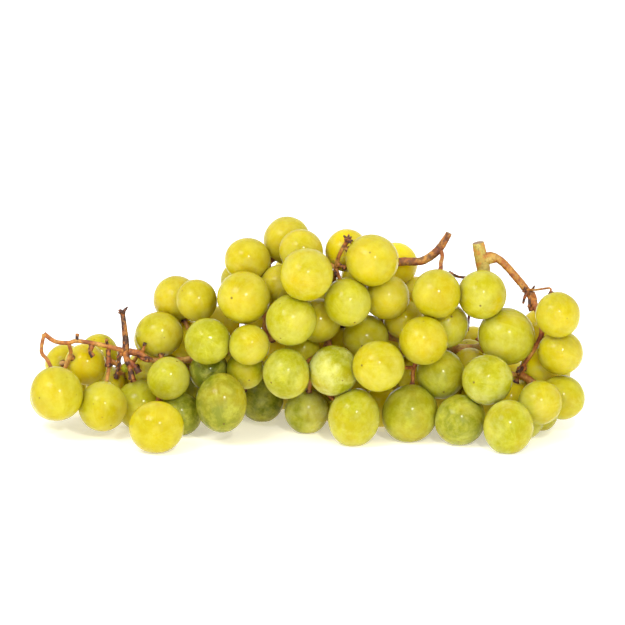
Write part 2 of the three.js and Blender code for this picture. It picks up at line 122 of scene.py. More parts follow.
# Berries of each spray: place across, height as sighted, depth, width, length over width, lean in degrees.
SPRAYS = {
    "front_berry": [[-62.4, 10.6, 1, 21.6, 1.06, 90]],
    "left_end": [
        [-103.5, 24.1, 22, 22.2], [-105.4, 23.5, 42.5, 20.8], [-85.2, 19.1, 28, 20.4],
        [-84.8, 28.5, 58, 16.6], [-102.4, 35.9, 65, 16.6], [-92.7, 36, 50, 17.4], [-86.3, 40.6, 66, 15.8],
    ],
    "left_low": [[-70.6, 20.2, 43, 20.8], [-51.9, 16.9, 33, 18.4], [-56.3, 32.4, 28, 17.8]],
    "left_mid": [
        [-68.5, 34, 62, 15.8], [-66.3, 46, 66, 15], [-60.8, 47.7, 48, 18.8, 1.08, 80],
        [-55.4, 60.9, 53, 19.6], [-45.9, 63, 36, 17.2], [-51, 46.5, 62, 17], [-35, 53, 53, 16.4],
    ],
    "left_centre": [
        [-41.3, 45.6, 28, 19.4], [-24.2, 44.8, 20, 17], [-36.5, 21, 22, 21.2, 1.17, 0],
        [-25.5, 34.6, 31, 15.8], [-43.5, 34.4, 38, 16.6],
    ],
    "top_left": [
        [-26.3, 63.9, 26, 22], [-24.1, 79.4, 43, 18.8], [-28.6, 71.5, 55, 15], [-11.7, 70.7, 38, 16.6],
    ],
    "top": [
        [-8.9, 88, 53, 19.4], [-3.1, 82.6, 36, 17.8], [-0.2, 74.4, 17, 22], [-7.1, 54.1, 18, 21],
        [5.2, 54.8, 33, 18.4], [-1.9, 42.3, 42, 15],
    ],
    "top_right": [
        [15.5, 83.4, 43, 17.6], [27.6, 78.5, 26, 21.6], [16.4, 62, 26, 19.8], [33.1, 64.6, 36, 19],
    ],
    "middle": [
        [37.2, 76.6, 57, 18], [23.1, 48.5, 38, 19.2], [39.4, 55.6, 44, 16.6], [44.4, 67.2, 58, 16.6],
        [13.6, 45.4, 66, 16.4], [4, 44, 74, 15.4],
    ],
    "front_centre": [
        [-9.2, 32.6, 14, 19.4, 1.1, -8], [10.5, 34.8, 22, 21], [30.4, 36.2, 12, 21.4],
        [19.9, 15.4, 14, 21.6, 1.14, 8],
    ],
    "inner_left": [
        [-19.8, 22.3, 55, 18.4], [-36, 21, 50, 16.6], [-27, 34, 60, 16], [-14.5, 44.5, 68, 15.4],
        [-46, 25, 63, 16],
    ],
    "inner_centre": [
        [0.2, 17.7, 36, 18.4], [15, 19, 44, 17], [31, 20.3, 50, 17], [12, 39, 60, 16.4],
    ],
    "right_front": [
        [53, 65.4, 24, 20.2], [72.8, 65.4, 30, 20.4], [47.2, 45.8, 14, 20.4], [57.2, 52.6, 31, 19.2],
        [82.9, 47.7, 30, 23.4, 1.04, -45],
    ],
    "right_low": [
        [42.2, 17.8, 25, 23.2, 1.05, 30], [63.2, 13.8, 15, 21], [75.6, 31.9, 12, 21],
        [55.8, 31.9, 38, 20.4], [44.8, 30.6, 48, 15],
    ],
    "right_core": [
        [37, 49, 64, 16.6], [48, 38, 62, 17.2], [57, 24, 54, 17.4], [72, 23, 48, 17],
    ],
    "right_inner": [[67.7, 37.3, 42, 15.8], [67.7, 41.5, 55, 15], [69.4, 44.4, 70, 14]],
    "right_wing": [[103.7, 57.2, 24, 18.6], [103.9, 39.8, 22, 18.6], [95.6, 31.9, 38, 17.4]],
    "right_end": [
        [96.8, 20.9, 18, 18.4], [103.4, 28.4, 33, 18.4], [83.3, 11.9, 3, 20.8, 1.1, 6],
        [96.9, 16, 38, 15], [89.8, 14.4, 28, 15.8], [85.2, 22.3, 40, 15],
    ],
}

# The sprays behind the middle plane, and the front sprays whose berries have their partners there.
PARTNERS = {
    "far_left": ["left_end", "left_low", "left_centre"],
    "far_top": ["top_left", "top", "top_right"],
    "far_centre": ["front_centre"],
    "far_right": ["right_front", "right_low"],
    "far_wing": ["right_wing", "right_end"],
}

# Places along the stems: across, height as sighted, depth and half thickness.
STEMS = {
    "main": [
        [70.9, 86.9, 44, 2.35], [72, 81.5, 44, 2.75], [73.2, 76, 44, 2.8], [75, 66, 46, 2.4],
        [79.5, 57, 48, 2.4], [79, 49, 50, 2.3], [72, 43, 51, 2.3], [60, 43, 51, 2.2],
        [48, 46, 50, 2.2], [34, 48.5, 50, 2.1], [18, 54.5, 49, 2], [0, 53, 49, 1.9],
        [-18, 47, 47, 1.8], [-34, 42, 43, 1.6], [-48, 38.5, 39, 1.4], [-65, 38.1, 38, 1.1],
        [-71, 40.6, 38, 1.1], [-77.3, 42.3, 38, 1.1], [-85.4, 44.4, 38, 0.95], [-95.6, 46.1, 38, 0.9],
        [-99.4, 45.3, 38, 0.9], [-105, 45.9, 38, 0.9], [-109.6, 49.1, 38, 1],
    ],
    "second_stalk": [
        [35, 48.5, 50, 1.9], [30, 58, 49, 1.8], [25.5, 67, 47, 1.8], [28, 75, 45, 1.8],
        [34, 78.2, 44, 1.8], [40, 79, 43, 1.75], [47.1, 79.2, 43, 1.7], [51.8, 81.6, 43, 1.75],
        [55.1, 84.9, 43, 1.75], [57.5, 88.5, 43, 1.5], [58.8, 90.8, 43, 1.35],
    ],
    "wing_branch": [
        [72.8, 80.6, 44, 2.2], [76.8, 81.2, 44, 1.8], [81, 78.8, 43.5, 1.65], [86, 73.4, 42.5, 1.6],
        [90.6, 67.8, 42, 1.6], [93.6, 63, 40, 1.4], [96.3, 56, 35, 1.2], [97.3, 49.5, 33, 1.15],
        [95.2, 44.4, 34, 1], [91.9, 39, 35, 0.9], [89, 34.8, 36, 0.8],
    ],
    "top_branch": [
        [18, 54.5, 49, 1.5], [14, 62, 47, 1.3], [11, 70, 41, 1.1], [11.8, 76.4, 33, 0.9],
        [13.3, 81.9, 29, 0.8], [16.6, 87.8, 27, 1],
    ],
    "top_left_branch": [
        [-18, 47, 47, 1.5], [-17, 58, 46, 1.3], [-17, 68, 46, 1.2], [-16, 78, 49, 0.9],
    ],
    "bare_twig": [[-75.6, 41.6, 38, 1.6], [-75.7, 47.5, 38, 1.3], [-76.9, 58, 38, 1]],
    "tip_twig": [[-99.4, 45.3, 38, 0.8], [-98.5, 41.9, 39, 0.8], [-98.8, 39.5, 40, 0.8]],
    "stub": [[-82.8, 43.6, 38, 0.7], [-82.5, 39.5, 38, 0.7], [-82.5, 35.8, 38, 1.5]],
}

# Stalks that the photograph shows: spray and number of the berry, and places from the stem to it.
SEEN_STALKS = [
    ["right_front", 0, [55.6, 85.4, 43], [56, 81.5, 40.5], [55.3, 78.5, 35], [55.1, 75.7, 30]],
    ["right_wing", 0, [91, 66.6, 41], [94.5, 67.3, 37], [98.8, 66.8, 31], [100.9, 66.3, 28]],
    ["left_centre", 2, [-40.5, 40.6, 41.5], [-39, 37, 37], [-37.4, 33.4, 31]],
    ["left_end", 0, [-109.2, 48.3, 38], [-110.7, 41.9, 36], [-108.3, 38.4, 32], [-106.8, 35.7, 29]],
    ["left_low", 0, [-75.2, 41.6, 38], [-74.8, 37, 39], [-73.1, 31, 41]],
    ["front_berry", 0, [-60, 38.2, 38.7], [-60.8, 30, 37.5], [-61.6, 21, 29], [-62.2, 15.5, 16]],
]


def size(v):
    return math.sqrt(v[0] * v[0] + v[1] * v[1] + v[2] * v[2])


def dots(a, b):
    return a[..., 0] * b[..., 0] + a[..., 1] * b[..., 1] + a[..., 2] * b[..., 2]


def sizes(v):
    return np.sqrt(dots(v, v))


def unit(v):
    return v * (1 / size(v))


def sighted(entry):
    across, height, depth = entry[:3]
    return np.array([across, depth, (height - depth * SIN) / COS])


def leaning(degrees):
    a = math.radians(degrees)
    return np.array([math.sin(a), math.cos(a) * SIN, math.cos(a) * COS])


def repeatable_draws(seed):
    """The series of numbers between -1 and 1 that part.mjs draws from."""
    factor, modulus = 48271, 2147483647
    while True:
        seed = (seed * factor) % modulus
        yield seed / modulus * 2 - 1


class Berry:
    """A berry, longer along its lean where that is given and else along its pole, the way to its stalk."""

    def __init__(self, spray, number, place, width, long, lean, seen):
        self.spray = spray
        self.number = number
        self.at = np.array(place, float)
        self.width = width
        self.long = long
        self.lean = lean
        self.radius = (width * (1 + long)) / 4
        self.seen = seen
        self.pole = None


def all_berries():
    """The listed berries, and behind them their partners."""
    front = []
    for spray, rows in SPRAYS.items():
        for number, row in enumerate(rows):
            long = row[4] if len(row) > 4 else LONG
            lean = row[5] if len(row) > 5 else None
            front.append(Berry(spray, number, sighted(row), row[3], long, lean, True))
    far = []
    draws = repeatable_draws(SEED)
    for spray, partners in PARTNERS.items():
        for b in front:
            if b.spray not in partners or b.at[1] >= NEAR:
                continue
            x, y, z = b.at
            width = b.width * (1 + WIDTH_DRAW * next(draws))
            across = x * INWARD + ACROSS_DRAW * next(draws)
            depth = 2 * MIDDLE - y + DEPTH_DRAW * next(draws)
            height = z - (depth - y) * SLOPE + HEIGHT_DRAW * next(draws)
            number = sum(f.spray == spray for f in far)
            place = [across, depth, max(height, width / 2)]
            far.append(Berry(spray, number, place, width, LONG, None, False))
    return front + far


def air(a, b):
    return size(b.at - a.at) - a.radius - b.radius


def holding_pairs(berries):
    """Pairs that hold each spray together: each berry of it with the nearest one already held."""
    pairs = []
    for spray in dict.fromkeys(b.spray for b in berries):
        loose = [b for b in berries if b.spray == spray]
        held = [loose.pop(0)]
        while loose:
            _, a, b = min((air(a, b), i, j) for i, a in enumerate(held) for j, b in enumerate(loose))
            pairs.append((held[a], loose[b]))
            held.append(loose.pop(b))
    return pairs


def stem_pieces():
    """The straight pieces of the listed stems, each with the room that berries leave it."""
    pieces = []
    for line in STEMS.values():
        for first, last in zip(line, line[1:]):
            pieces.append((sighted(first), sighted(last), max(first[3], last[3]) + STEM_ROOM))
    return pieces


def settle(berries):
    """Lets the berries part, keep hold of their spray and make way for the stems, as part.mjs does."""
    count = len(berries)
    index = {id(b): i for i, b in enumerate(berries)}
    links = np.array([[index[id(a)], index[id(b)]] for a, b in holding_pairs(berries)])
    first, second = np.triu_indices(count, 1)
    at = np.array([b.at for b in berries])
    home_at = at.copy()
    radius = np.array([b.radius for b in berries])
    seen = np.array([b.seen for b in berries])[:, None]
    spray = np.array([b.spray for b in berries])
    reach = radius[first] + radius[second] + np.where(spray[first] == spray[second], -PRESS, CLEAR)
    link_reach = radius[links[:, 0]] + radius[links[:, 1]] - PRESS
    starts, ends, rooms = (np.array(column) for column in zip(*stem_pieces()))
    run = ends - starts
    sight = np.array([0, COS, -SIN])

    def nudge(moves, i, j, want, pulls, share):
        """Moves each pair nearer to the wanted distance, if it lies further apart (pulls) or nearer."""
        d = at[j] - at[i]
        length = sizes(d)
        near = length > want if pulls else length < want
        i, j, d, length, want = i[near], j[near], d[near], length[near], want[near]
        step = d * (((want - length) / 2 / length) * share)[:, None]
        np.add.at(moves, np.stack([i, j], 1).ravel(), np.stack([-step, step], 1).reshape(-1, 3))

    for turn in range(ROUNDS):
        moves = np.zeros((count, 3))
        nudge(moves, first, second, reach, False, 1)
        nudge(moves, links[:, 0], links[:, 1], link_reach, True, HOLD)
        t = np.clip(dots(at[:, None] - starts, run) / dots(run, run), 0, 1)
        away = at[:, None] - (starts + run * t[..., None])
        length = sizes(away)
        short = radius[:, None] + rooms - length
        who, piece = np.nonzero(short > 0)
        step = away[who, piece] * (MAKE_WAY * short[who, piece] / length[who, piece])[:, None]
        np.add.at(moves, who, step)
        home = home_at - at
        along = sight * dots(moves, sight)[:, None]
        home_along = sight * dots(home, sight)[:, None]
        across = moves - along
        at = at + (along + across * np.where(seen, SEEN_MOVE, 1)) * MOVE
        if turn < ROUNDS - CALM:
            at = at + (home - home_along) * np.where(seen, SEEN_HOME, HIDDEN_HOME)
            at = at + home_along * DEPTH_HOME
            at[:, 1] += np.where(seen[:, 0], 0, (MIDDLE - at[:, 1]) * TO_MIDDLE)
        low = at[:, 2] < radius + SINK
        at[:, 2] += np.where(low, (radius - FLAT - at[:, 2]) * SINK_MOVE, 0)
        at[:, 2] = np.maximum(at[:, 2], radius - FLAT)
    for b, place in zip(berries, at):
        b.at = place


class Place:
    """A place on the tree of stems. Its load is how many berries a stalk carries, None on a listed stem."""

    def __init__(self, at, parent, half, load):
        self.at = at
        self.parent = parent
        self.half = half
        self.load = load


def rounded(value):
    """The nearest whole number above 0, with halves rounded up, as in part.mjs."""
    return max(1, math.floor(value + 0.5))


def listed_stems():
    """The tree of stems as listed, with places close enough for stalks to start from."""
    tree = []
    for line in STEMS.values():
        tree.append(Place(sighted(line[0]), -1, line[0][3], None))
        for entry in line[1:]:
            place = sighted(entry)
            last = tree[-1]
            steps = rounded(size(place - last.at) / STEM_STEP)
            for k in range(1, steps + 1):
                at = last.at + (place - last.at) * (k / steps)
                half = last.half + ((entry[3] - last.half) * k) / steps
                tree.append(Place(at, len(tree) - 1, half, None))
    return tree


def nearest_place(tree, place):
    """The number of the place on the tree that is nearest to a place."""
    return int(np.argmin(sizes(np.array([t.at for t in tree]) - place)))


def pushed_out(place, berries, room, skipped):
    """The place, moved out of each berry that it lies in, or nearer to than the room."""
    at = place
    centres = np.array([b.at for b in berries])
    close = sizes(centres - place) < FAR_BERRY
    for b in (berries[i] for i in np.nonzero(close)[0]):
        if b is skipped:
            continue
        away = at - b.at
        reach = b.radius + room
        if size(away) < reach:
            at = b.at + unit(away) * reach
    return at


def stalk_line(start, own, berries):
    """The line of a stalk from a place on the stem to its berry, led round the berries between them."""
    total = size(own.at - start) - own.radius
    count = rounded(total / STALK_STEP)
    pole = unit(start - own.at)
    line = [start + pole * (-total * k / (count + 1)) for k in range(1, count + 1)]
    near = [b for b in berries if size(b.at - own.at) < total + FAR_FROM_STALK]
    for _ in range(STALK_ROUNDS):
        tip = pushed_out(own.at + pole * (own.radius + TIP_OUT), near, COLLAR + TIP_ROOM, own)
        pull = unit(line[-1] - own.at)
        pole = unit(unit(tip - own.at) + pull * STRAIGHTEN)
        for k in range(count):
            before = line[k - 1] if k else start
            after = line[k + 1] if k < count - 1 else tip
            line[k] = line[k] + ((before + after) * 0.5 - line[k]) * SMOOTH
            line[k] = pushed_out(line[k], near, TWIG_ROOM, None)
    return line, pole


def add_stalk(tree, stalks, origin, line, pole, own):
    """Adds a berry's stalk to the tree of stems, and counts it in all the places that carry it."""
    path = [origin]
    for at in line:
        tree.append(Place(at, path[-1], 0, 0))
        path.append(len(tree) - 1)
    k = path[-1]
    while k >= 0 and tree[k].load is not None:
        tree[k].load += 1
        k = tree[k].parent
    own.pole = pole
    stalks.append((path, own))


def efforts(places, own, berries):
    """How hard a berry is to reach from each place: the way, and more for berries that lie in it."""
    total = sizes(own.at - places) - own.radius
    others = [b for b in berries if b is not own]
    centres = np.array([b.at for b in others])
    radius = np.array([b.radius for b in others])
    run = (own.at - places)[:, None]
    t = np.clip(dots(centres[None] - places[:, None], run) / dots(run, run), 0, 1)
    gap = sizes(centres[None] - (places[:, None] + run * t[..., None]))
    return total + DETOUR * np.maximum(0, radius + TWIG_ROOM - gap).sum(1)


def grow_stalks(tree, berries):
    """The stalks of all berries: first the listed ones, then from the berry nearest to a stem outwards."""
    stalks = []
    for spray, number, *rows in SEEN_STALKS:
        own = [b for b in berries if b.spray == spray][number]
        line = [sighted(row) for row in rows]
        pole = unit(line[-1] - own.at)
        inner = line[1:-1]
        for _ in range(LISTED_ROUNDS):
            inner = [pushed_out(place, berries, TWIG_ROOM, None) for place in inner]
        add_stalk(tree, stalks, nearest_place(tree, line[0]), inner, pole, own)
    places = np.array([t.at for t in tree])
    reach = {id(b): sizes(places - b.at).min() - b.radius for b in berries}
    for own in sorted((b for b in berries if b.pole is None), key=lambda b: reach[id(b)]):
        places = np.array([t.at for t in tree])
        origin = int(np.argmin(efforts(places, own, berries)))
        line, pole = stalk_line(tree[origin].at, own, berries)
        add_stalk(tree, stalks, origin, line, pole, own)
    for t in tree:
        if t.load:
            t.half = STALK * math.sqrt(1 + THICKEN * (t.load - 1))
    return stalks


berries = all_berries()
settle(berries)
tree = listed_stems()
stalks = grow_stalks(tree, berries)


def halfway(axis):
    """Half way between the furthest berries on an axis."""
    low = min(b.at[axis] - b.radius for b in berries)
    high = max(b.at[axis] + b.radius for b in berries)
    return (low + high) / 2


# From the places above to the frame's. Places stay in millimetres until a mesh is made.
SHIFT = np.array([-halfway(0), -halfway(1), 0])

# How green each berry is, how much bloom it has, and how many brown specks, from 0 to 1. A green below 0.12
# also paints the berry lighter: painted light on berries that lie in shade among the others.
TINTS = {
    "front_berry": [(0.15, 0.1, 0.1)],
    "left_end": [
        (0.24, 0.1, 1.0), (0.30, 0.1, 0.4), (0.28, 0.2, 0.8), (0.02, 0.8, 0.2), (0.14, 0.1, 0.3),
        (0.08, 0.2, 0.4), (0.20, 0.1, 0.2),
    ],
    "left_low": [(0.45, 0.2, 0.5), (0.90, 0.1, 0.2), (0.48, 0.3, 0.2)],
    "left_mid": [
        (0.06, 0.5, 0.2), (0.04, 0.3, 0.2), (0.32, 0.2, 0.2), (0.16, 0.2, 0.3), (0.17, 0.2, 0.3),
        (0.00, 0.2, 0.2), (0.00, 0.3, 0.2),
    ],
    "left_centre": [(0.52, 0.2, 0.3), (0.36, 0.3, 0.2), (0.88, 0.1, 0.2), (0.55, 0.3, 0.2), (1.00, 0.1, 0.2)],
    "top_left": [(0.18, 0.2, 0.3), (0.16, 0.1, 0.2), (0.12, 0.2, 0.2), (0.13, 0.3, 0.2)],
    "top": [
        (0.16, 0.2, 0.1), (0.20, 0.2, 0.1), (0.22, 0.3, 0.5), (0.42, 0.3, 0.5), (0.20, 0.2, 0.3),
        (0.30, 0.1, 0.2),
    ],
    "top_right": [(0.05, 0.3, 0.2), (0.16, 0.2, 0.4), (0.38, 0.3, 0.3), (0.14, 0.3, 0.2)],
    "middle": [
        (0.02, 0.2, 0.2), (0.25, 0.3, 0.3), (0.07, 0.3, 0.4), (0.03, 0.4, 0.2), (0.00, 0.3, 0.3),
        (0.00, 0.3, 0.2),
    ],
    "front_centre": [(0.60, 0.4, 0.3), (0.66, 0.9, 0.4), (0.24, 0.3, 0.6), (0.50, 0.5, 0.5)],
    "inner_left": [(0.98, 0.3, 0.2), (0.40, 0.3, 0.2), (0.10, 0.3, 0.2), (0.00, 0.2, 0.2), (0.85, 0.2, 0.2)],
    "inner_centre": [(0.74, 0.6, 0.3), (0.18, 0.3, 0.2), (0.04, 0.3, 0.2), (0.20, 0.3, 0.2)],
    "right_front": [(0.24, 0.2, 0.3), (0.34, 0.3, 0.3), (0.22, 0.2, 0.5), (0.38, 0.3, 0.3), (0.40, 0.3, 0.2)],
    "right_low": [(0.70, 0.2, 0.3), (0.80, 0.3, 0.3), (0.54, 0.6, 0.2), (0.60, 0.3, 0.2), (0.10, 0.2, 0.5)],
    "right_core": [(0.00, 0.3, 0.2), (0.10, 0.3, 0.2), (0.05, 0.3, 0.2), (0.08, 0.3, 0.2)],
    "right_inner": [(0.13, 0.3, 0.8), (0.20, 0.2, 0.7), (0.05, 0.3, 0.3)],
    "right_wing": [(0.20, 0.2, 0.3), (0.16, 0.2, 0.3), (0.03, 0.3, 0.3)],
    "right_end": [
        (0.36, 0.3, 0.2), (0.36, 0.2, 0.2), (0.55, 0.5, 0.2), (0.50, 0.2, 0.3), (0.55, 0.3, 0.3),
        (0.05, 0.1, 0.3),
    ],
}
# A berry that isn't listed: its least green, the usual green, how far that varies, its bloom and specks. A
# green below 0.12 gives such a berry painted light too.
LEAST_GREEN, USUAL_GREEN, GREEN_RANGE = 0.05, 0.12, 0.20
HIDDEN_BLOOM, HIDDEN_SPECKS = 0.3, 0.3

# A berry's skin: sides round its stalk, and rings in degrees from the stalk, closer at both ends.
AROUND = 40
STALK_RINGS = [0, 3, 6, 9, 12, 15, 18, 22, 27, 33, 40]
END_RINGS = [170, 173, 175.5, 177.5, 180]
RING_ANGLES = STALK_RINGS + list(range(48, 168, 8)) + END_RINGS
# How uneven it is: share of its half width, how fine, and how far apart the patterns of two berries lie.
UNEVEN = [(0.018, 1.3, 0.7), (0.004, 4.0, 0.9)]
# Its dimple, the dimple's rim, the scar's rim and the scar: height, and middle and width in radians.
ENDS = [(-0.55, 0, 0.17), (0.10, 0.36, 0.13), (0.07, math.pi - 0.09, 0.04), (-0.10, math.pi, 0.05)]
SKIN_GAP = 0.03  # air between the flattened faces of two berries
SOFT = 0.10  # how softly a flattened face meets the round of its berry
NEIGHBOUR = 3  # only berries nearer than this can flatten each other
STALK_DEEP = 0.5  # how deep in its dimple a stalk meets the skin


def tint(b):
    rows = TINTS.get(b.spray, [])
    if b.number < len(rows):
        return rows[b.number]
    green = USUAL_GREEN + GREEN_RANGE * noise.noise(Vector(b.at * 0.31))
    return (max(LEAST_GREEN, green), HIDDEN_BLOOM, HIDDEN_SPECKS)


def pressed_planes(b):
    """The planes that a berry's skin keeps behind: before other berries, and on the surface below."""
    planes = []
    for other in berries:
        if other is b:
            continue
        d = other.at - b.at
        gap = size(d) - b.radius - other.radius
        if gap < NEIGHBOUR:
            planes.append((unit(d), b.radius + gap / 2 - SKIN_GAP))
    planes.append((np.array([0, 0, -1.0]), b.at[2]))
    return planes


def bell(values, middle, width):
    return np.exp(-(((values - middle) / width) ** 2))


def crossing(way):
    """An axis that runs across a way, more or less."""
    return np.array([0, 0, 1.0]) if abs(way[2]) < 0.9 else np.array([1.0, 0, 0])


def ring_faces(rings, around):
    """Faces of a closed skin made of rings between two single corners."""
    faces = [(0, 1 + k, 1 + (k + 1) % around) for k in range(around)]
    for r in range(rings - 1):
        for k in range(around):
            a, c = 1 + r * around + k, 1 + r * around + (k + 1) % around
            faces.append((a, a + around, c + around, c))
    last = 1 + rings * around
    for k in range(around):
        faces.append((last - around + k, last, last - around + (k + 1) % around))
    return faces


SKIN_FACES = ring_faces(len(RING_ANGLES) - 2, AROUND)


def berry_surface(b):
    """Corners of a berry's skin round its stalk's axis, and where each of them lies round it."""
    pole = b.pole
    aside = crossing(pole)
    first = unit(aside - pole * (aside @ pole))
    second = np.cross(pole, first)
    axis = pole if b.lean is None else leaning(b.lean)
    directions, angles, turns = [pole], [0.0], [0.0]
    for degrees in RING_ANGLES[1:-1]:
        a = math.radians(degrees)
        for k in range(AROUND):
            t = 2 * math.pi * k / AROUND
            outward = first * math.cos(t) + second * math.sin(t)
            directions.append(pole * math.cos(a) + outward * math.sin(a))
            angles.append(a)
            turns.append(t)
    directions.append(-pole)
    angles.append(math.pi)
    turns.append(0.0)
    directions, angles, turns = np.array(directions), np.array(angles), np.array(turns)
    half = b.width / 2
    out = directions * half + axis * ((directions @ axis) * half * (b.long - 1))[:, None]
    relief = sum(height * bell(angles, middle, width) for height, middle, width in ENDS)
    for share, scale, apart in UNEVEN:
        pattern = np.array([noise.noise(Vector(d * scale + b.at * apart)) for d in directions])
        relief = relief + share * half * pattern
    out += directions * relief[:, None]
    clear = 6 * SOFT  # from here a plane pushes as if it were hard
    for _ in range(2):
        for way, reach in pressed_planes(b):
            over = out @ way - reach
            soft_push = SOFT * np.log1p(np.exp(np.minimum(over, clear) / SOFT))
            out -= np.outer(np.where(over > clear, over, soft_push), way)
    marks = np.stack([angles / math.pi, 0.5 + 0.5 * np.cos(turns), 0.5 + 0.5 * np.sin(turns)], 1)
    return out + b.at, marks


def make_object(name, corners, faces, attributes, material):
    """A smooth object from corners in millimetres, with values for its material at each corner."""
    mesh = bpy.data.meshes.new(name)
    mesh.from_pydata([tuple(c) for c in (np.array(corners) + SHIFT) / 1000], [], faces)
    for key, values in attributes.items():
        layer = mesh.attributes.new(key, "FLOAT_COLOR", "POINT")
        layer.data.foreach_set("color", np.array(values, float).ravel())
    mesh.polygons.foreach_set("use_smooth", [True] * len(mesh.polygons))
    mesh.update()
    obj = bpy.data.objects.new(name, mesh)
    bpy.context.scene.collection.objects.link(obj)
    mesh.materials.append(material)
    return obj


class Nodes:
    """Short calls for adding nodes to a material."""

    def __init__(self, name):
        self.material = bpy.data.materials.new(name)
        self.material.use_nodes = True
        self.tree = self.material.node_tree
        self.shader = self.tree.nodes["Principled BSDF"]

    def add(self, kind, inputs=None, **settings):
        node = self.tree.nodes.new(kind)
        for key, value in settings.items():
            setattr(node, key, value)
        for label, value in (inputs or {}).items():
            node.inputs[label].default_value = value
        return node

    def shade(self, values):
        for label, value in values.items():
            self.shader.inputs[label].default_value = value

    def link(self, out, into):
        self.tree.links.new(out, into)

    def attribute(self, name):
        node = self.add("ShaderNodeAttribute", attribute_name=name)
        split = self.add("ShaderNodeSeparateColor")
        self.link(node.outputs["Color"], split.inputs["Color"])
        return split.outputs["Red"], split.outputs["Green"], split.outputs["Blue"], node.outputs["Alpha"]

    def noise(self, scale, detail, roughness):
        place = self.add("ShaderNodeTexCoord")
        node = self.add("ShaderNodeTexNoise", {"Scale": scale, "Detail": detail, "Roughness": roughness})
        self.link(place.outputs["Object"], node.inputs["Vector"])
        return node.outputs["Fac"]

    def ramp(self, source, *stops):
        """A colour for each value of the source, from stops of a value and a colour or a grey."""
        node = self.add("ShaderNodeValToRGB")
        elements = node.color_ramp.elements
        while len(elements) < len(stops):
            elements.new(0.5)
        for element, (place, color) in zip(elements, stops):
            element.position = place
            element.color = (*color, 1) if isinstance(color, tuple) else (color, color, color, 1)
        self.link(source, node.inputs["Fac"])
        return node.outputs["Color"]

    def math(self, operation, a, b=None, clamp=False):
        node = self.add("ShaderNodeMath", operation=operation, use_clamp=clamp)
        for socket, value in zip(node.inputs, (a, b)):
            if value is None:
                continue
            if isinstance(value, (int, float)):
                socket.default_value = value
            else:
                self.link(value, socket)
        return node.outputs["Value"]

    def mix(self, factor, a, b, blend="MIX"):
        node = self.add("ShaderNodeMix", data_type="RGBA", blend_type=blend)
        sockets = {s.identifier: s for s in node.inputs}
        for key, value in (("Factor_Float", factor), ("A_Color", a), ("B_Color", b)):
            socket = sockets[key]
            if isinstance(value, (int, float)):
                socket.default_value = value
            elif isinstance(value, tuple):
                socket.default_value = (*value, 1)
            else:
                self.link(value, socket)
        return {s.identifier: s for s in node.outputs}["Result_Color"]

    def bump(self, height, strength, distance):
        node = self.add("ShaderNodeBump", {"Strength": strength, "Distance": distance})
        self.link(height, node.inputs["Height"])
        self.link(node.outputs["Normal"], self.shader.inputs["Normal"])


# Colours of a berry's skin, from ripe to green, and of what lies in and on it. The stop at 0 is painted
# light: below 0.12 the skin turns lighter, for berries that lie in shade among the others.
SKIN_AND_PAINTED_LIGHT_TONES = [
    (0.0, (0.720, 0.580, 0.002)),
    (0.12, (0.440, 0.358, 0.001)),
    (0.25, (0.400, 0.348, 0.002)),
    (0.5, (0.340, 0.328, 0.003)),
    (0.75, (0.225, 0.240, 0.005)),
    (1.0, (0.120, 0.140, 0.005)),
]
GOLD_TONE = (0.50, 0.35, 0.003)
CLOUD_TONE = (0.62, 0.59, 0.08)
VEIN_TONE = (0.62, 0.59, 0.07)
BLOOM_TONE = (0.56, 0.56, 0.21)
STALK_END_TONE = (0.55, 0.50, 0.10)
SCAR_TONE = (0.13, 0.075, 0.02)
SPECK_TONE = (0.15, 0.085, 0.025)

# Colours of the wood, by patches, of its dark ends and blotches, and of a fresh cut.
DRY_TONES = [(0.38, (0.26, 0.055, 0.008)), (0.50, (0.48, 0.150, 0.018)), (0.66, (0.66, 0.31, 0.05))]
FRESH_TONES = [(0.42, (0.52, 0.20, 0.03)), (0.52, (0.42, 0.30, 0.045)), (0.66, (0.50, 0.43, 0.11))]
DARK_TONE = (0.058, 0.018, 0.008)
CUT_TONE = (0.27, 0.17, 0.085)


def vein_noise(n, turn_x, turn_y, angle, own):
    """Noise that changes quickly round a berry and slowly along it."""
    round_it, along_it, between_berries = 7.0, 1.6, 40.0
    place = n.add("ShaderNodeCombineXYZ")
    n.link(n.math("MULTIPLY", turn_x, round_it), place.inputs["X"])
    n.link(n.math("MULTIPLY", turn_y, round_it), place.inputs["Y"])
    along = n.math("MULTIPLY", angle, along_it)
    n.link(n.math("ADD", along, n.math("MULTIPLY", own, between_berries)), place.inputs["Z"])
    node = n.add("ShaderNodeTexNoise", {"Scale": 1.5, "Detail": 1.5})
    n.link(place.outputs["Vector"], node.inputs["Vector"])
    return node.outputs["Fac"]


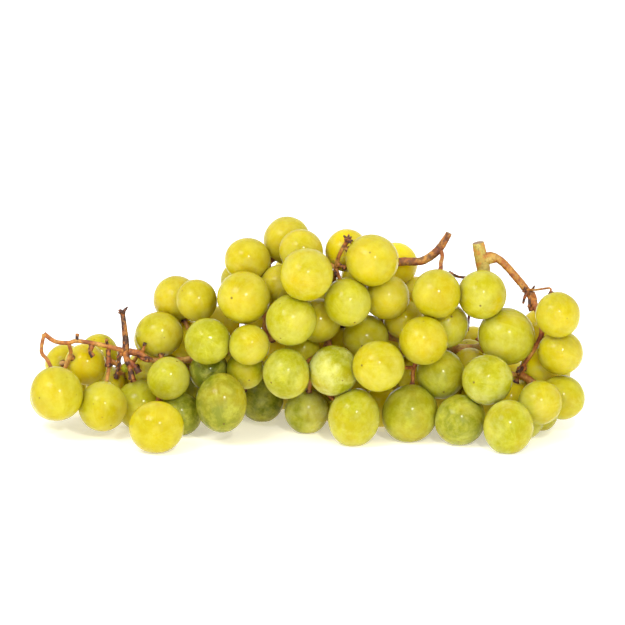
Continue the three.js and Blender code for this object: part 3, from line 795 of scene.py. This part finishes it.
def berry_material():
    n = Nodes("berry_skin_look")
    green, bloom, specks, own = n.attribute("tint")
    angle, turn_x, turn_y, _ = n.attribute("marks")
    # the lowest greens paint the skin lighter: painted light for berries in shade among the others
    base = n.ramp(green, *SKIN_AND_PAINTED_LIGHT_TONES)
    # golden patches, paler clouds in the flesh, and pale veins that run from the stalk to the far end
    gold = n.ramp(n.noise(scale=60, detail=2.0, roughness=0.5), (0.45, 0.0), (0.70, 0.45))
    color = n.mix(gold, base, GOLD_TONE)
    clouds = n.ramp(n.noise(scale=210, detail=6.0, roughness=0.70), (0.43, 0.0), (0.66, 1.0))
    clouds = n.math("MULTIPLY", clouds, n.math("ADD", n.math("MULTIPLY", green, 0.45), 0.42))
    color = n.mix(clouds, color, n.mix(0.52, base, CLOUD_TONE))
    veins = n.ramp(vein_noise(n, turn_x, turn_y, angle, own), (0.55, 0.0), (0.70, 1.0))
    color = n.mix(n.math("MULTIPLY", veins, 0.13), color, VEIN_TONE)
    shade = n.ramp(n.noise(scale=90, detail=3.0, roughness=0.55), (0.35, 0.80), (0.58, 1.0))
    color = n.mix(0.6, color, shade, "MULTIPLY")
    film = n.ramp(n.noise(scale=85, detail=6.0, roughness=0.66), (0.42, 0.0), (0.62, 1.0))
    film = n.math("MULTIPLY", film, bloom)
    color = n.mix(n.math("MULTIPLY", film, 0.75), color, BLOOM_TONE)
    # a pale ring round the stalk, and on some berries a brown dot at the far end
    stalk_end = n.ramp(angle, (0.0, 1.0), (0.05, 0.75), (0.13, 0.0))
    color = n.mix(n.math("MULTIPLY", stalk_end, 0.45), color, STALK_END_TONE)
    dot = n.ramp(angle, (0.982, 0.0), (0.990, 0.85))
    dotted = n.math("LESS_THAN", own, 0.42)
    color = n.mix(n.math("MULTIPLY", dot, dotted), color, SCAR_TONE)
    # lenticels: small brown specks, sparse
    place = n.add("ShaderNodeTexCoord")
    cells = n.add("ShaderNodeTexVoronoi", {"Scale": 270}, feature="F1")
    n.link(place.outputs["Object"], cells.inputs["Vector"])
    near = n.ramp(cells.outputs["Distance"], (0.06, 1.0), (0.15, 0.0))
    pick = n.add("ShaderNodeSeparateColor")
    n.link(cells.outputs["Color"], pick.inputs["Color"])
    few = n.math("LESS_THAN", pick.outputs["Red"], n.math("MULTIPLY", specks, 0.26))
    speck = n.math("MULTIPLY", n.math("MULTIPLY", near, few), 0.75)
    color = n.mix(speck, color, SPECK_TONE)
    n.link(color, n.shader.inputs["Base Color"])
    # bloom is rougher than bare skin
    n.link(n.ramp(film, (0.0, 0.15), (1.0, 0.40)), n.shader.inputs["Roughness"])
    n.shade({"IOR": 1.36, "Specular IOR Level": 0.25, "Subsurface Weight": 1.0})
    n.shade({"Subsurface Radius": (1.0, 0.8, 0.10), "Subsurface Scale": 0.011})
    n.bump(n.noise(scale=380, detail=3.0, roughness=0.6), strength=0.15, distance=0.0003)
    return n.material


def stem_material():
    n = Nodes("stem_wood_look")
    green, dark, cut, _ = n.attribute("tint")
    grain = n.noise(scale=900, detail=5.0, roughness=0.65)
    patches = n.noise(scale=190, detail=4.0, roughness=0.6)
    color = n.mix(green, n.ramp(patches, *DRY_TONES), n.ramp(patches, *FRESH_TONES))
    blotches = n.ramp(n.noise(scale=420, detail=4.0, roughness=0.6), (0.44, 1.0), (0.56, 0.0))
    blotches = n.math("ADD", n.math("MULTIPLY", blotches, 1.2), 0.35)
    color = n.mix(n.math("MULTIPLY", dark, blotches, clamp=True), color, DARK_TONE)
    color = n.mix(0.7, color, n.ramp(grain, (0.34, 0.40), (0.52, 1.0)), "MULTIPLY")
    color = n.mix(cut, color, CUT_TONE)
    n.link(color, n.shader.inputs["Base Color"])
    n.link(n.ramp(grain, (0.3, 0.50), (0.7, 0.80)), n.shader.inputs["Roughness"])
    n.shade({"Subsurface Weight": 0.15, "Subsurface Radius": (1.0, 0.5, 0.2), "Subsurface Scale": 0.001})
    n.bump(grain, strength=0.6, distance=0.0004)
    return n.material


SKIN = berry_material()
WOOD = stem_material()


def make_sprays():
    """One piece for the skins of each spray."""
    for spray in dict.fromkeys(b.spray for b in berries):
        corners, faces, tints, marks = [], [], [], []
        for b in (own for own in berries if own.spray == spray):
            points, own_marks = berry_surface(b)
            faces += [tuple(i + len(corners) for i in face) for face in SKIN_FACES]
            corners += list(points)
            own_number = 0.5 + 0.5 * math.sin(37.0 * b.at[0] + 11.0 * b.at[1])
            tints += [(*tint(b), own_number)] * len(points)
            marks += [(*m, 1.0) for m in own_marks]
        name = "skins_" + spray
        obj = make_object(name, corners, faces, {"tint": tints, "marks": marks}, SKIN)
        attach(obj, "root")
        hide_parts("berries_" + spray)


def curve_through(places, values, step):
    """Places and values on a smooth curve through the given ones, about a step apart."""
    ends = [places[0] * 2 - places[1], *places, places[-1] * 2 - places[-2]]
    tails = [values[0], *values, values[-1]]
    smooth, kept = [], []
    for i in range(1, len(ends) - 2):
        p0, p1, p2, p3 = ends[i - 1 : i + 3]
        v1, v2 = np.array(tails[i]), np.array(tails[i + 1])
        count = max(1, math.ceil(size(p2 - p1) / step))
        for k in range(count):
            t = k / count
            bend = 2 * p0 - 5 * p1 + 4 * p2 - p3
            twist = 3 * p1 - p0 - 3 * p2 + p3
            smooth.append(p1 + ((p2 - p0) * t + bend * t * t + twist * t**3) / 2)
            kept.append(v1 + (v2 - v1) * t)
    smooth.append(places[-1])
    kept.append(np.array(values[-1]))
    return smooth, kept


def tube_mesh(places, halves, sides, rough, seed):
    """A closed tube whose section is uneven by a share of its thickness."""
    corners, faces = [], []
    across = None
    for i, p in enumerate(places):
        way = unit(places[min(i + 1, len(places) - 1)] - places[max(i - 1, 0)])
        if across is None:
            across = crossing(way)
        across = unit(across - way * (across @ way))
        other = np.cross(way, across)
        for k in range(sides):
            a = 2 * math.pi * k / sides
            d = across * math.cos(a) + other * math.sin(a)
            ridge = 0.5 * math.sin(3 * a + seed) + 0.5 * math.sin(5 * a + 2 * seed)
            uneven = noise.noise(Vector(p * 0.9 + d * 0.8)) + 0.45 * ridge
            corners.append(p + d * halves[i] * (1 + rough * uneven))
    for i in range(len(places) - 1):
        for k in range(sides):
            a, b = i * sides + k, i * sides + (k + 1) % sides
            faces.append((a, b, b + sides, a + sides))
    first, last = len(corners), len(corners) + 1
    corners += [places[0], places[-1]]
    end = (len(places) - 1) * sides
    for k in range(sides):
        faces.append((first, (k + 1) % sides, k))
        faces.append((last, end + k, end + (k + 1) % sides))
    return corners, faces


# How green and how dark each stem is at its start and at its end.
STEM_TINTS = {
    "main": ((1.0, 0.0), (0.0, 0.25)),
    "second_stalk": ((0.3, 0.30), (0.1, 0.55)),
    "wing_branch": ((0.55, 0.15), (-0.3, 0.20)),
    "top_branch": ((0.3, 0.1), (0.1, 0.5)),
    "top_left_branch": ((0.3, 0.1), (0.2, 0.2)),
    "bare_twig": ((0.1, 0.70), (0.2, 1.0)),
    "tip_twig": ((0.1, 0.2), (0.1, 0.3)),
    "stub": ((0.1, 0.4), (0.0, 0.95)),
}
CUT_ENDS = {"main": 1, "second_stalk": -1}  # cut at its first place, or at its last
STAR_TIPS = ("top_branch", "bare_twig")
CUT_SWELL = 1.06  # how much thicker the main stem is where it was cut
THIN_STALKS = {("right_wing", 0): 0.55, ("right_front", 0): 1.1}  # share of their thickness by the rule

# Small dry twigs that carry nothing, as places like those of STEMS.
DRY_TWIGS = [
    [(-95.6, 45.6, 38, 0.8), (-95.8, 47.4, 38, 0.7), (-95.6, 49, 38, 0.9)],
    [(-90.2, 45, 38, 0.8), (-90.2, 43.2, 37.6, 0.7), (-90.1, 41.8, 37.3, 1)],
    [(-77.6, 42.2, 38, 0.7), (-78.6, 36.5, 38, 0.55), (-79.9, 30.4, 37.5, 0.8)],
    [(12.2, 78.4, 31, 0.8), (14.2, 77.2, 29.5, 0.7), (15.9, 76.3, 28.6, 1.3)],
    [(11.8, 76, 33, 0.8), (11.9, 74.2, 31, 0.7), (12.4, 73.2, 30, 1.2)],
    [(72.6, 74, 44, 0.9), (66.5, 72.6, 39, 0.6), (62.4, 72.8, 35, 0.55), (58.8, 74.4, 32, 0.9)],
    [(-69, 40, 38, 0.8), (-68, 43.5, 37, 0.6), (-67.6, 45.2, 36.6, 0.9)],
    [(-71, 40.6, 38, 0.9), (-68.5, 38.6, 36.5, 0.8), (-66, 38.2, 35.5, 1.1)],
    [(-77, 42, 38, 0.9), (-75.6, 39, 36.5, 0.9), (-74.6, 36.4, 35.5, 1.1)],
    [(-82.6, 43.6, 38, 0.7), (-83.6, 45.6, 37.6, 0.6), (-83.4, 46.8, 37.4, 0.8)],
    [(93.4, 66.8, 41, 0.8), (92.6, 63.5, 39.5, 0.5), (92.2, 60, 38.5, 0.9)],
    [(93.8, 66.4, 41, 0.7), (95, 63, 39.5, 0.5), (94.4, 59.6, 38.5, 0.9)],
    [(92.6, 67, 41, 0.6), (91.2, 66.6, 40, 0.4), (90, 67.2, 39.5, 0.35)],
    [(93.4, 67.4, 41, 0.6), (94.4, 69, 40.5, 0.35)],
    [(90, 36, 36, 0.8), (88.8, 34, 34, 0.7), (87.4, 32.6, 32, 1.3)],
    [(67.6, 59, 46, 0.6), (67, 54.5, 45, 0.55), (66.6, 50.4, 45, 0.7)],
    [(75.4, 58, 38, 0.8), (75.8, 56, 38, 1)],
    [(92, 67.2, 40.5, 1.1), (90.4, 64.6, 39.8, 0.7), (89.6, 61.6, 39.3, 0.5)],
    [(93, 66.5, 40.5, 1.1), (92.4, 62.5, 39.8, 0.8), (93.2, 58.6, 39.2, 1.3)],
    [(91, 68.6, 40.8, 0.8), (89.4, 66.4, 40.4, 0.4)],
    [(-76, 41.8, 37.4, 1.5), (-74.4, 37.2, 36.4, 1.2), (-73.4, 33, 35.6, 1.2), (-73, 30, 35, 1.7)],
    [(-73.9, 37.6, 36.4, 1.2), (-71.6, 35.2, 35.6, 1), (-70.2, 32.8, 35.2, 1.5)],
    [(-74.2, 41.6, 37.4, 1.6), (-70, 41, 36.8, 1.3), (-66.8, 39.4, 36.2, 0.9), (-64.6, 38, 36, 0.8)],
    [(-77.4, 41.4, 37.6, 1.3), (-78.6, 38.4, 37.4, 0.9), (-78.2, 36.4, 37.2, 0.7)],
    [(-89.6, 44.4, 38, 1.2), (-90.4, 41.6, 37.4, 0.9), (-89.2, 39.6, 37.2, 1.1)],
    [(-82.8, 42.6, 38, 1.1), (-82.8, 38.6, 37.2, 0.8), (-82.9, 35.4, 37, 1.5)],
]
# The thick joint where the wing branch leaves the main stem, and its tints.
JOINT = [(72.6, 78.6, 44, 2.3), (75.0, 80.0, 44, 2.35), (78.6, 80.3, 43.8, 1.7)]
JOINT_TINTS = [(0.9, 0.0, 0.0), (0.8, 0.0, 0.0), (0.5, 0.1, 0.0)]

# A berry that stayed tiny, half its width, and its twig.
SHOT_BERRY = (-75.8, 34.8, 37.5)
SHOT_HALF = 1.95
SHOT_TWIG = [(-75.6, 42.0, 38, 0.6), (-75.4, 38.5, 37.8, 0.45), (*SHOT_BERRY, 0.5)]

FOOT = 3.2  # length of the last stretch of a stalk, which widens into its collar
CUT_HALF = 0.2  # half the thickness of the brown disc on a cut
# The star where a berry fell off: its knob, and its rays with their length and how far that varies.
KNOB_HALVES = [0.9, 1.5, 0.9]
RAYS = 6
RAY_HALVES = [0.75, 0.62, 0.34]
RAY_LONG, RAY_RANGE = 2.6, 0.6


class Gathered:
    """Corners, faces and tints of one object, gathered from many small pieces."""

    def __init__(self):
        self.corners = []
        self.faces = []
        self.tints = []

    def take(self, corners, faces, tints):
        self.faces += [tuple(i + len(self.corners) for i in face) for face in faces]
        self.corners += list(corners)
        self.tints += [(*t, 1.0) for t in tints]


def add_tube(wood, places, halves, tints, sides, rough, seed, step):
    """A smooth tube through places, with half a thickness and a tint at each."""
    values = [(h, *t) for h, t in zip(halves, tints)]
    smooth, kept = curve_through(places, values, step)
    corners, faces = tube_mesh(smooth, [v[0] for v in kept], sides, rough, seed)
    spread = [tuple(v[1:]) for v in kept for _ in range(sides)]
    spread += [tuple(kept[0][1:]), tuple(kept[-1][1:])]
    wood.take(corners, faces, spread)


def add_line(wood, line, tints, **form):
    """A tube along a list of places, each with its half thickness."""
    add_tube(wood, [sighted(entry) for entry in line], [entry[3] for entry in line], tints, **form)


def add_listed_stems(wood):
    for seed, (name, line) in enumerate(STEMS.items()):
        (green0, dark0), (green1, dark1) = STEM_TINTS[name]
        tints = []
        for i in range(len(line)):
            t = i / (len(line) - 1)
            tints.append((max(0, green0 + (green1 - green0) * t), dark0 + (dark1 - dark0) * t, 0.0))
        places = [sighted(entry) for entry in line]
        halves = [entry[3] for entry in line]
        if name == "main":
            halves[0] *= CUT_SWELL
        rough = 0.05 if name == "main" else 0.10
        add_tube(wood, places, halves, tints, sides=14, rough=rough, seed=seed, step=0.8)
        if name in CUT_ENDS:
            add_cut_end(wood, places[:: CUT_ENDS[name]], halves[:: CUT_ENDS[name]])
        if name in STAR_TIPS:
            add_star(wood, places[-1], unit(places[-1] - places[-2]), seed)


def add_cut_end(wood, places, halves):
    """A thin brown disc where the stalk was cut."""
    tip = places[0]
    way = unit(tip - places[1])
    disc = [tip - way * CUT_HALF, tip + way * 0.6 * CUT_HALF, tip + way * CUT_HALF]
    halves = [halves[0] * 0.9, halves[0] * 0.9, halves[0] * 0.6]
    tints = [(0, 0, 0.6), (0, 0, 0.9), (0, 0, 1.0)]
    add_tube(wood, disc, halves, tints, sides=14, rough=0.06, seed=3.0, step=0.2)


def add_star(wood, tip, way, seed):
    """The dry star that is left where a berry fell off."""
    aside = unit(np.cross(way, np.array([0.3, 1.0, 0.2])))
    other = np.cross(way, aside)
    tints = [(0.0, 0.85, 0.0)] * 3
    knob = [tip - way * 1.2, tip, tip + way * 0.5]
    add_tube(wood, knob, KNOB_HALVES, tints, sides=10, rough=0.25, seed=seed, step=0.4)
    for k in range(RAYS):
        a = 2 * math.pi * k / RAYS + 0.3 * math.sin(3.0 * k + seed)
        outward = aside * math.cos(a) + other * math.sin(a)
        lean = unit(outward + way * (0.45 + 0.25 * math.sin(5.0 * k)))
        long = RAY_LONG + RAY_RANGE * math.sin(2.3 * k + seed)
        ray = [tip - way * 0.2, tip + lean * long * 0.55, tip + lean * long]
        add_tube(wood, ray, RAY_HALVES, tints, sides=7, rough=0.25, seed=seed + k, step=0.5)


def add_stalks(wood):
    for seed, (path, own) in enumerate(stalks):
        places = [tree[k].at for k in path]
        share = THIN_STALKS.get((own.spray, own.number), 1.0)
        halves = [tree[k].half * share for k in path]
        halves[0] = min(halves[:2])
        tints = [(0.25, 0.15, 0.0)] * len(places)
        reach = size(surface_point(own) - own.at)
        while len(places) > 2 and size(places[-1] - own.at) < reach + FOOT:
            places.pop()
            halves.pop()
            tints.pop()
        narrow = STALK * share
        # how far outside the skin, half the thickness, and how dark
        foot = [
            (2.6, narrow, 0.2),
            (1.3, narrow * 1.15, 0.4),
            (0.45, COLLAR, 0.75),
            (-0.35, COLLAR * 0.8, 0.9),
        ]
        for away, half, dark in foot:
            places.append(own.at + own.pole * (reach + away))
            halves.append(half)
            tints.append((0.15, dark, 0.0))
        add_tube(wood, places, halves, tints, sides=9, rough=0.13, seed=seed * 0.7, step=1.0)


def surface_point(b):
    """Where a berry's stalk meets its skin."""
    half = b.width / 2
    axis = b.pole if b.lean is None else leaning(b.lean)
    return b.at + b.pole * (half - STALK_DEEP) + axis * ((b.pole @ axis) * half * (b.long - 1))


def make_stem():
    wood = Gathered()
    add_listed_stems(wood)
    add_stalks(wood)
    for number, line in enumerate(DRY_TWIGS):
        tints = [(0.0, 0.5 + 0.45 * i / (len(line) - 1), 0.0) for i in range(len(line))]
        add_line(wood, line, tints, sides=8, rough=0.2, seed=5.0 + number, step=0.6)
    add_line(wood, SHOT_TWIG, [(0.1, 0.3, 0.0)] * 3, sides=8, rough=0.15, seed=2.0, step=0.6)
    add_line(wood, JOINT, JOINT_TINTS, sides=12, rough=0.08, seed=4.0, step=0.6)
    obj = make_object("stem_wood", wood.corners, wood.faces, {"tint": wood.tints}, WOOD)
    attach(obj, "root")
    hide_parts("stem")


def make_shot_berry():
    rows, around = 12, 20
    directions = [(0, 0, 1)]
    for r in range(1, rows):
        for k in range(around):
            a, t = math.pi * r / rows, 2 * math.pi * k / around
            directions.append((math.sin(a) * math.cos(t), math.sin(a) * math.sin(t), math.cos(a)))
    directions.append((0, 0, -1))
    corners = np.array(directions) * SHOT_HALF + sighted(SHOT_BERRY)
    looks = {"tint": [(0.85, 0.2, 0.0, 1.0)] * len(corners), "marks": [(0.5, 0.5, 0.5, 1.0)] * len(corners)}
    obj = make_object("shot_berry", corners, ring_faces(rows - 1, around), looks, SKIN)
    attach(obj, "root")


# The camera. It stands far off, as the photograph's nearly parallel view asks.
FRAME_PX = 625
PX_PER_MM = 2.4
LEFT_PX = 307.5  # where place 0 across lies in the frame
FLOOR_PX = 451.5  # where height 0 lies in the frame
AIM_DEPTH = 34.0  # depth of the place that it looks at, in millimetres
CAMERA_FAR = 4.0
CLIP_END = 20
SENSOR = 36.0

# The studio, in metres and watts. Each light has a place, a width, a height and a power.
FLOOR_SIZE = 12
FLOOR_BELOW = 0.0001
FLOOR_GLOW = 0.40  # the floor is lit from below too, so shadows on it stay light
FLOOR_TONE = (0.93, 0.93, 0.92)
# painted warm light on the floor round the bunch, as if light came through the berries
PAINTED_WARM_LIGHT_TONE = (0.94, 0.90, 0.76)
LIGHT_AIM = (0, 0, 0.04)
LIGHTS = {
    "key": ((-0.62, -0.60, 0.95), 0.50, 0.36, 6.5),
    "fill": ((0.10, -1.35, 0.20), 1.2, 0.8, 7.5),
    "glint": ((0.26, -1.15, 0.72), 0.06, 0.06, 6.5),
}


def aim(obj, place, target):
    obj.location = place
    obj.rotation_euler = (target - place).to_track_quat("-Z", "Y").to_euler()
    bpy.context.scene.collection.objects.link(obj)


def make_camera():
    across = (FRAME_PX / 2 - LEFT_PX) / PX_PER_MM
    height = (FLOOR_PX - FRAME_PX / 2) / PX_PER_MM
    target = np.array([across, height * SIN + AIM_DEPTH * COS, height * COS - AIM_DEPTH * SIN]) + SHIFT
    target = Vector(target / 1000)
    data = bpy.data.cameras.new("camera")
    data.sensor_width = SENSOR
    data.lens = PX_PER_MM * 1000 * CAMERA_FAR / FRAME_PX * SENSOR
    data.clip_end = CLIP_END
    camera = bpy.data.objects.new("camera", data)
    aim(camera, target + Vector((0, -COS, SIN)) * CAMERA_FAR, target)
    bpy.context.scene.camera = camera


def area_light(name, place, width, height, power):
    data = bpy.data.lights.new(name, "AREA")
    data.shape = "RECTANGLE"
    data.size, data.size_y = width, height
    data.energy = power
    aim(bpy.data.objects.new(name, data), Vector(place), Vector(LIGHT_AIM))


def floor_material():
    """White, with painted warm light close round the bunch, as if light came through the berries."""
    n = Nodes("floor_look")
    place = n.add("ShaderNodeTexCoord")
    split = n.add("ShaderNodeSeparateXYZ")
    n.link(place.outputs["Object"], split.inputs["Vector"])
    half_long, half_deep, _ = ((high - low) / 2 for low, high in zip(*cad_box))
    across = n.math("DIVIDE", split.outputs["X"], half_long)
    deep = n.math("DIVIDE", split.outputs["Y"], half_deep)
    away = n.math("SQRT", n.math("ADD", n.math("MULTIPLY", across, across), n.math("MULTIPLY", deep, deep)))
    # painted warm light, strongest close round the bunch, in both the floor's colour and its glow
    near = n.ramp(n.math("DIVIDE", away, 2.0), (0.30, 1.0), (0.58, 0.0))
    color = n.mix(near, FLOOR_TONE, PAINTED_WARM_LIGHT_TONE)
    n.link(color, n.shader.inputs["Base Color"])
    n.link(color, n.shader.inputs["Emission Color"])
    n.shade({"Emission Strength": FLOOR_GLOW, "Roughness": 0.9, "Specular IOR Level": 0.1})
    return n.material


def make_studio():
    bpy.ops.mesh.primitive_plane_add(size=FLOOR_SIZE, location=(0, 0, -FLOOR_BELOW))
    floor = bpy.context.object
    floor.name = "floor"
    floor.data.materials.append(floor_material())
    world = bpy.data.worlds.new("studio")
    bpy.context.scene.world = world
    world.use_nodes = True
    background = world.node_tree.nodes["Background"]
    background.inputs["Color"].default_value = (1, 1, 1, 1)
    background.inputs["Strength"].default_value = 1.0
    for name, (place, width, height, power) in LIGHTS.items():
        area_light(name, place, width, height, power)
    bpy.context.scene.view_settings.view_transform = "Standard"


make_camera()
make_studio()
make_sprays()
make_stem()
make_shot_berry()
